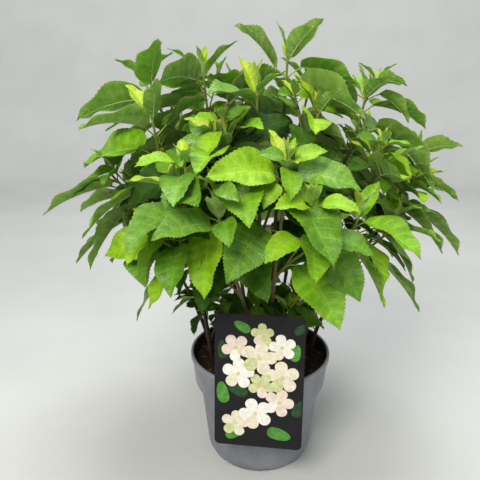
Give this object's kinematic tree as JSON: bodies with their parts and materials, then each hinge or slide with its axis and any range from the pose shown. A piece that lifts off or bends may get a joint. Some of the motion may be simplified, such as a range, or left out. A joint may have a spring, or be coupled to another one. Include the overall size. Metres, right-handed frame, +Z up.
{
  "type": "potted hydrangea shrub",
  "caption": "Bushy hydrangea shrub in full leaf, its many stems rising from the soil of a round plastic nursery pot, with a plain picture label hung on the rim.",
  "frame": {"origin": "middle of the pot's flat underside, on the ground", "axes": "+Z up; -Y is the front of the plant, where its label hangs, and +X is to its right seen from the front"},
  "size_m": [0.6131, 0.5348, 0.6855],
  "materials": {
    "pot_plastic": "satin",
    "potting_soil": "rough",
    "label_card": "gloss",
    "stem_bark": "rough",
    "leaves": "satin"
  },
  "bodies": {
    "root": {"pot": "pot_plastic", "soil": "potting_soil", "plant_label": "label_card", "stem_front": "stem_bark", "stem_front_left": "stem_bark", "stem_low_front": "stem_bark", "stem_left": "stem_bark", "stem_right": "stem_bark", "stem_crown": "stem_bark", "stem_upper_front": "stem_bark", "stem_left_top": "stem_bark", "stem_right_top": "stem_bark", "stem_far_right": "stem_bark", "stem_far_left": "stem_bark", "stem_back": "stem_bark", "stem_back_left": "stem_bark", "stem_back_right": "stem_bark", "foliage_front": "leaves", "foliage_front_left": "leaves", "foliage_low_front": "leaves", "foliage_left": "leaves", "foliage_right": "leaves", "foliage_crown": "leaves", "foliage_upper_front": "leaves", "foliage_left_top": "leaves", "foliage_right_top": "leaves", "foliage_far_right": "leaves", "foliage_far_left": "leaves", "foliage_back": "leaves", "foliage_back_left": "leaves", "foliage_back_right": "leaves"}
  },
  "joints": []
}
